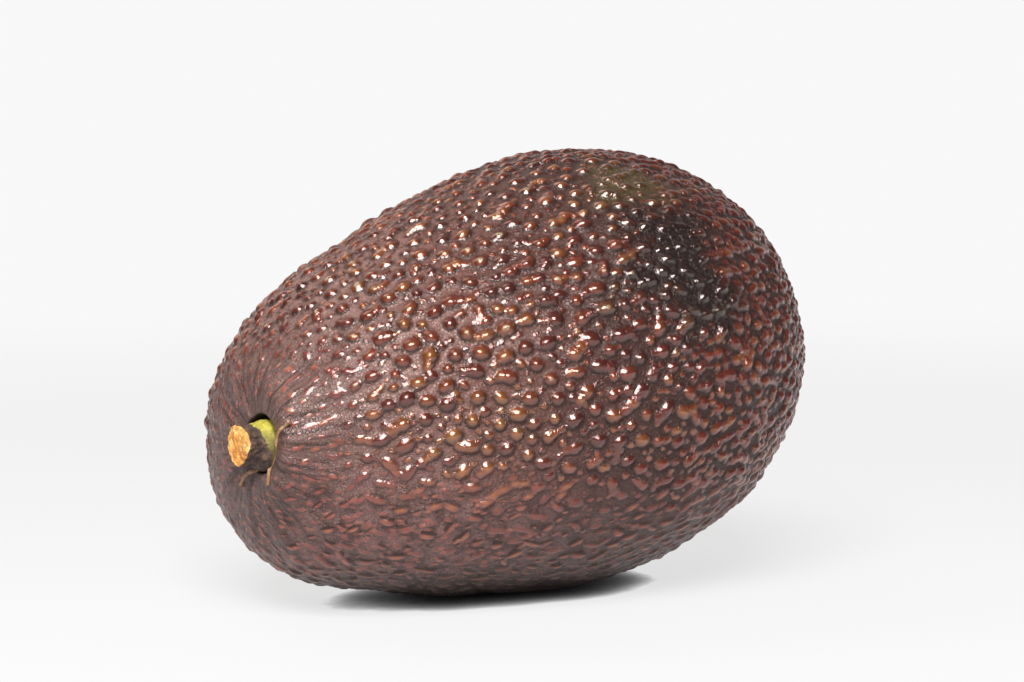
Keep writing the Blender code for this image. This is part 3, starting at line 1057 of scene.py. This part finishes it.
class AVOCADO_OT_rind(bpy.types.Operator):
    """Make the rind: the fruit's whole skin, with its pebbles, folds, seat and scar"""

    bl_idname = "avocado.rind"
    bl_label = "Rind"

    def execute(self, context):
        rind = context.scene.avocado_rind
        directions, faces, rim_count = rind_net(rind)
        points, normals, _ = body_frame(directions, rind)
        away, turn = around_stem(directions)
        rise, reach, local, tone, cork = raise_pebbles(points, rind)
        relief = skin_relief(directions, points, rind) + rise * rind.pebble_height
        placed = laid(points + normals * relief[:, None])
        placed = ease_rim(placed, away, rind)
        placed = make_seat_rings(placed, faces, rim_count, rind)
        low, high = (np.array(corner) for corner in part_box("fruit"))
        placed = np.clip(placed, low, high)
        made = new_mesh_object("avocado_rind", placed, faces)
        outside = placed[:len(points)]
        stored = {
            "reach": np.minimum(reach, FARTHEST),
            "in_pebble": local,
            "tone": tone,
            "cork": cork,
            "stem_spin": np.stack([np.cos(turn) * 3, np.sin(turn) * 3, away * 1.2], axis=1),
            "near_stem": 1 - smooth(0.2, 0.7, away),
            "low_front": 1 - smooth(10, 29, (outside[:, 2] + 0.1 * outside[:, 0]) / MM),
        }
        in_seat = len(placed) - len(points)
        for name, values in stored.items():
            tail = np.full((in_seat,) + values.shape[1:], FARTHEST if name == "reach" else 0.0)
            store(made.data, name, np.concatenate([values, tail]))
        store(made.data, "in_seat", np.concatenate([np.zeros(len(points)), np.ones(in_seat)]))
        made.data.shade_smooth()
        made.data.materials.append(rind_material(rind))
        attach(made, "root")
        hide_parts("fruit")
        return {"FINISHED"}


# The stem's stub

class AVOCADO_OT_stub(bpy.types.Operator):
    """Make the stem's stub: foot, collar, neck and cut end"""

    bl_idname = "avocado.stub"
    bl_label = "Stem stub"

    def execute(self, context):
        deselect_all(context)
        first, level = STUB_STEPS[0]
        bpy.ops.mesh.primitive_circle_add(
            vertices=STUB_SIDES, radius=first * MM, fill_type="NGON", location=(0, 0, level * MM))
        bpy.ops.object.transform_apply(location=True, rotation=True, scale=True)
        made = context.active_object
        made.name = made.data.name = "avocado_stub"
        bpy.ops.object.mode_set(mode="EDIT")
        bpy.ops.mesh.select_all(action="SELECT")
        for radius, height in STUB_STEPS[1:]:
            rise = (height - level) * MM
            bpy.ops.mesh.extrude_region_move(TRANSFORM_OT_translate={"value": (0, 0, rise)})
            share = radius / first
            bpy.ops.transform.resize(value=(share, share, 1), center_override=(0, 0, height * MM))
            first, level = radius, height
        for _ in range(CUT_RINGS):
            bpy.ops.mesh.inset(thickness=first * MM / CUT_RING_SHARE)
        bpy.ops.mesh.poke()
        bpy.ops.mesh.select_all(action="SELECT")
        bpy.ops.mesh.normals_make_consistent(inside=False)
        bpy.ops.object.mode_set(mode="OBJECT")
        modifier = made.modifiers.new("finer", "SUBSURF")
        modifier.levels = modifier.render_levels = 2
        bpy.ops.object.modifier_apply(modifier=modifier.name)
        roughen_stub(made, context.scene.avocado_rind)
        made.data.shade_smooth()
        made.data.materials.append(stub_material(context.scene.avocado_stub))
        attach(made, "root")
        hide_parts("stem")
        return {"FINISHED"}


def roughen_stub(made, rind):
    """Give the turned stub its uneven outline, bark and cracked end, and stand it in the seat."""
    data = made.data
    points = np.empty(len(data.vertices) * 3)
    data.vertices.foreach_get("co", points)
    points = points.reshape(-1, 3)
    turn = np.arctan2(points[:, 1], points[:, 0])
    flat = np.hypot(points[:, 0], points[:, 1])
    high = points[:, 2] / MM
    above = smooth(0.5, 4.0, high)
    cut = smooth(3.85, 4.05, high)
    edge = 0.75 + 1.1 * np.sin(turn) + 0.12 * np.sin(5 * turn) + 0.1 * np.sin(11 * turn + 1)
    collar = 1 - smooth(edge - 0.25, edge + 0.25, high)
    uneven = 1 + above * (0.04 * np.cos(2 * turn + 0.6) + 0.03 * np.cos(3 * turn))
    bark = 0.10 * waves(points, 1.1 * MM, BARK_SEED)
    bark += 0.06 * waves(points * np.array([1, 1, 0.4]), 0.6 * MM, RIDGE_SEED)
    bark *= MM
    bark *= smooth(0.2, 1.2, high) * (1 - cut)
    scale = uneven * (1 + bark / np.maximum(flat, 0.5 * MM))
    points[:, 0] *= scale
    points[:, 1] *= scale
    points[:, 0] *= 1 + 0.3 * above * points[:, 1] / (3.2 * MM)
    points[:, 1] -= STUB_DROP
    lumps = sum(tall * waves(points, size * MM, seed) for tall, size, seed in CUT_WAVES)
    points[:, 2] += cut * lumps * MM
    seat = np.array(seat_matrix(rind))
    lowest, highest = (np.array(corner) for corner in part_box("stem"))
    placed = np.clip(points @ seat[:3, :3].T + seat[:3, 3], lowest, highest)
    data.vertices.foreach_set("co", placed.ravel())
    store(data, "cut", cut)
    store(data, "collar", collar)
    store(data, "upper", 0.5 + 0.5 * np.sin(turn - 0.5))
    data.update()


# The torn fibres

def cut_corners(path, rounds=2):
    """A rounder way through a path's points."""
    path = [np.array(point, dtype=float) for point in path]
    for _ in range(rounds):
        rounder = [path[0]]
        for a, b in zip(path, path[1:]):
            rounder += [0.75 * a + 0.25 * b, 0.25 * a + 0.75 * b]
        path = rounder + [path[-1]]
    return path


class AVOCADO_OT_fibres(bpy.types.Operator):
    """Lay the torn fibres over the seat's edge and the skin round it"""

    bl_idname = "avocado.fibres"
    bl_label = "Torn fibres"

    def execute(self, context):
        skin = bpy.data.objects.get("avocado_rind")
        if skin is None:
            raise RuntimeError("The rind has to be made before its torn fibres")
        context.view_layer.update()
        seat = seat_matrix(context.scene.avocado_rind)
        draw = random.Random(FIBRE_SEED)
        curve = bpy.data.curves.new("stem_fibres", "CURVE")
        curve.dimensions = "3D"
        curve.bevel_depth = 1.0
        curve.bevel_resolution = 2
        curve.use_fill_caps = True
        for radius, path in FIBRES:
            way = cut_corners(path)
            line = curve.splines.new("POLY")
            line.points.add(len(way) - 1)
            for i, (side, up) in enumerate(way):
                start = seat @ Vector((side * MM, up * MM, FIBRE_START))
                met, hit, _, _ = skin.ray_cast(start, -seat.col[2].xyz)
                level = (seat.inverted() @ hit).z if met else 0.0
                at = seat @ Vector((side * MM, up * MM, max(level, FIBRE_LOWEST) + FIBRE_LIFT))
                taper = FIBRE_END_SHARE if i in (0, len(way) - 1) else 1
                line.points[i].co = (*at, 1)
                line.points[i].radius = radius * MM * draw.uniform(0.75, 1.2) * taper
        made = bpy.data.objects.new("stem_fibres", curve)
        context.scene.collection.objects.link(made)
        deselect_all(context)
        made.select_set(True)
        context.view_layer.objects.active = made
        bpy.ops.object.convert(target="MESH")
        made = context.active_object
        made.data.shade_smooth()
        made.data.materials.append(fibre_material(context.scene.avocado_stub))
        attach(made, "root")
        return {"FINISHED"}


# The studio

class AVOCADO_OT_studio(bpy.types.Operator):
    """Make the pale floor, the soft light and the camera"""

    bl_idname = "avocado.studio"
    bl_label = "Studio"

    def execute(self, context):
        studio = context.scene.avocado_studio
        deselect_all(context)
        bpy.ops.mesh.primitive_plane_add(size=FLOOR_SIZE, location=(0, 0, 0))
        floor = context.active_object
        floor.name = "pale_floor"
        floor.data.materials.append(floor_material(studio))
        set_camera(context)
        area_light(context, "soft_key", KEY_LIGHT, studio.key_power)
        area_light(context, "soft_rim", RIM_LIGHT, studio.rim_power, RIM_TINT)
        set_room_light(context, studio)
        return {"FINISHED"}


def view_axes():
    """The camera's right, its up, and the way back to it from the fruit, but for its roll."""
    azimuth, elevation = CAMERA_AZIMUTH, CAMERA_ELEVATION
    level = math.cos(elevation)
    back = Vector((math.sin(azimuth) * level, -math.cos(azimuth) * level, math.sin(elevation)))
    right = Vector((math.cos(azimuth), math.sin(azimuth), 0))
    return right, back.cross(right), back


def set_camera(context):
    """A camera at the photograph's viewing angle."""
    right, up, back = view_axes()
    camera = bpy.data.cameras.new("camera")
    camera.lens = LENS
    camera.sensor_width = SENSOR
    made = bpy.data.objects.new("camera", camera)
    context.scene.collection.objects.link(made)
    turn = Matrix((right, up, back)).transposed().to_4x4()
    at = Matrix.Translation(SET_DOWN + back * CAMERA_DISTANCE + up * CAMERA_RISE)
    made.matrix_world = at @ turn @ Matrix.Rotation(CAMERA_ROLL, 4, "Z")
    context.scene.camera = made


def area_light(context, name, where, power, colour=(1, 1, 1)):
    """A soft rectangular light that faces the middle of the fruit."""
    azimuth, elevation, distance, width, height = where
    light = bpy.data.lights.new(name, "AREA")
    light.shape = "RECTANGLE"
    light.size = width
    light.size_y = height
    light.energy = power
    light.color = colour
    made = bpy.data.objects.new(name, light)
    context.scene.collection.objects.link(made)
    azimuth, elevation = math.radians(azimuth), math.radians(elevation)
    level = math.cos(elevation)
    way = Vector((math.cos(azimuth) * level, math.sin(azimuth) * level, math.sin(elevation)))
    made.location = SET_DOWN + way * distance
    made.rotation_euler = way.to_track_quat("Z", "Y").to_euler()


def set_room_light(context, studio):
    """A dim room with a brighter side behind the fruit, and a pale backdrop for the camera."""
    world = bpy.data.worlds.new("pale_room")
    context.scene.world = world
    world.use_nodes = True
    tree = world.node_tree
    nodes, links = tree.nodes, tree.links
    ground = nodes["Background"]
    way = nodes.new("ShaderNodeTexCoord").outputs["Generated"]
    _, _, back = view_axes()
    behind = lobe(tree, way, Vector((-back.x, -back.y, 0)).normalized(), *BACK_GLOW_SPAN)
    level = nodes.new("ShaderNodeMapRange")
    level.inputs["To Min"].default_value = studio.room_light
    level.inputs["To Max"].default_value = studio.backdrop * BACK_GLOW_SHARE
    links.new(behind, level.inputs["Value"])
    rays = nodes.new("ShaderNodeLightPath")
    power = nodes.new("ShaderNodeMix")
    links.new(rays.outputs["Is Camera Ray"], power.inputs["Factor"])
    links.new(level.outputs["Result"], power.inputs[2])
    power.inputs[3].default_value = studio.backdrop
    links.new(power.outputs[0], ground.inputs["Strength"])
    ground.inputs["Color"].default_value = (1, 1, 1, 1)
    context.scene.view_settings.view_transform = "Standard"


def lobe(tree, way, towards, low, high):
    """1 where a ray goes towards this direction, 0 away from it."""
    facing = tree.nodes.new("ShaderNodeVectorMath")
    facing.operation = "DOT_PRODUCT"
    facing.inputs[1].default_value = towards
    tree.links.new(way, facing.inputs[0])
    share = tree.nodes.new("ShaderNodeMapRange")
    share.interpolation_type = "SMOOTHSTEP"
    share.inputs["From Min"].default_value = low
    share.inputs["From Max"].default_value = high
    tree.links.new(facing.outputs["Value"], share.inputs["Value"])
    return share.outputs["Result"]


class AVOCADO_PT_panel(bpy.types.Panel):
    """Lists what the avocado is made of"""

    bl_idname = "AVOCADO_PT_panel"
    bl_label = "Avocado"
    bl_space_type = "VIEW_3D"
    bl_region_type = "UI"
    bl_category = "Avocado"

    def draw(self, context):
        for group, operators in (
            (context.scene.avocado_rind, ("avocado.rind",)),
            (context.scene.avocado_stub, ("avocado.stub", "avocado.fibres")),
            (context.scene.avocado_studio, ("avocado.studio",)),
        ):
            box = self.layout.box()
            for name in group.__annotations__:
                box.prop(group, name)
            for operator in operators:
                box.operator(operator)


CLASSES = (
    RindSettings, StubSettings, StudioSettings,
    AVOCADO_OT_rind, AVOCADO_OT_stub, AVOCADO_OT_fibres, AVOCADO_OT_studio, AVOCADO_PT_panel,
)
GROUPS = {"avocado_rind": RindSettings, "avocado_stub": StubSettings, "avocado_studio": StudioSettings}


def register():
    for item in CLASSES:
        bpy.utils.register_class(item)
    for name, group in GROUPS.items():
        setattr(bpy.types.Scene, name, bpy.props.PointerProperty(type=group))


def unregister():
    for name in GROUPS:
        delattr(bpy.types.Scene, name)
    for item in reversed(CLASSES):
        bpy.utils.unregister_class(item)


def main():
    register()
    bpy.ops.avocado.studio()
    bpy.ops.avocado.rind()
    bpy.ops.avocado.stub()
    bpy.ops.avocado.fibres()


if __name__ == "__main__":
    main()
